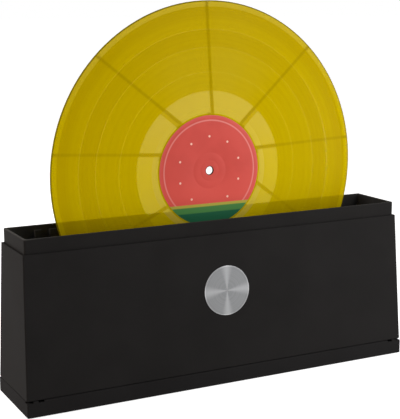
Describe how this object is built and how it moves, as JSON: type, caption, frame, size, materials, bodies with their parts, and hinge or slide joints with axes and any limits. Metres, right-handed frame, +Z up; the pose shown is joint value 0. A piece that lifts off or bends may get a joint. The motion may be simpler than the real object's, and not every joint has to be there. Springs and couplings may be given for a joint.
{
  "type": "record cleaning machine",
  "caption": "Tall narrow water trough that holds a record on edge on grooved rollers between velvet brushes, so that turning it by hand washes its grooves.",
  "frame": {"origin": "centre of the footprint, on the surface that the feet stand on", "axes": "+X along the trough to the right as seen from the front, +Y from the badge side to the rear, +Z up"},
  "size_m": [0.3792, 0.079, 0.3401],
  "materials": {
    "housing_plastic": "fine satin moulded",
    "tray_plastic": "fine satin moulded",
    "basin_plastic": "satin moulded, smooth collar",
    "foot_rubber": "matt",
    "screw_steel": "zinc plated",
    "badge_metal": "spun",
    "nylon": "satin",
    "axle_steel": "turned stainless",
    "roller_plastic": "satin turned",
    "roller_rubber": "soft, matt",
    "clip_steel": "spring steel",
    "vinyl": "translucent, grooved",
    "label_paper": "coated",
    "brush_plastic": "satin moulded",
    "brush_foam": "closed-cell foam",
    "brush_velvet": "short pile"
  },
  "bodies": {
    "housing": {"base_tray": "tray_plastic", "rubber_feet": "foot_rubber", "base_screws": "screw_steel", "outer_housing": "housing_plastic", "badge_disc": "badge_metal"},
    "basin": {"inner_basin": "basin_plastic", "roller_bushes": "nylon"},
    "record": {"record_disc": "vinyl", "record_label_front": "label_paper", "record_label_rear": "label_paper"},
    "left_roller": {"left_roller_axle": "axle_steel", "left_roller_spool": "roller_plastic", "left_roller_tyre": "roller_rubber", "left_roller_clips": "clip_steel"},
    "right_roller": {"right_roller_axle": "axle_steel", "right_roller_spool": "roller_plastic", "right_roller_tyre": "roller_rubber", "right_roller_clips": "clip_steel"},
    "front_brush": {"front_brush_holder": "brush_plastic", "front_brush_foam": "brush_foam", "front_brush_pad": "brush_velvet"},
    "rear_brush": {"rear_brush_holder": "brush_plastic", "rear_brush_foam": "brush_foam", "rear_brush_pad": "brush_velvet"}
  },
  "joints": [
    {"name": "basin_lift", "type": "slide", "parent": "housing", "child": "basin", "axis": [0, 0, 1], "range_m": [0, 0.12]},
    {"name": "record_spin", "type": "hinge", "parent": "basin", "child": "record", "pos_m": [0, 0, 0.1893], "axis": [0, 1, 0], "continuous": true},
    {"name": "left_roller_spin", "type": "hinge", "parent": "basin", "child": "left_roller", "pos_m": [-0.14802, 0, 0.12153], "axis": [0, 1, 0], "continuous": true},
    {"name": "right_roller_spin", "type": "hinge", "parent": "basin", "child": "right_roller", "pos_m": [0.14802, 0, 0.12153], "axis": [0, 1, 0], "continuous": true},
    {"name": "front_brush_lift", "type": "slide", "parent": "basin", "child": "front_brush", "axis": [0, 0, 1], "range_m": [0, 0.125]},
    {"name": "rear_brush_lift", "type": "slide", "parent": "basin", "child": "rear_brush", "axis": [0, 0, 1], "range_m": [0, 0.125]}
  ],
  "couplings": [
    {"joint": "left_roller_spin", "follows": "record_spin", "ratio": -12.889},
    {"joint": "right_roller_spin", "follows": "record_spin", "ratio": -12.889}
  ]
}
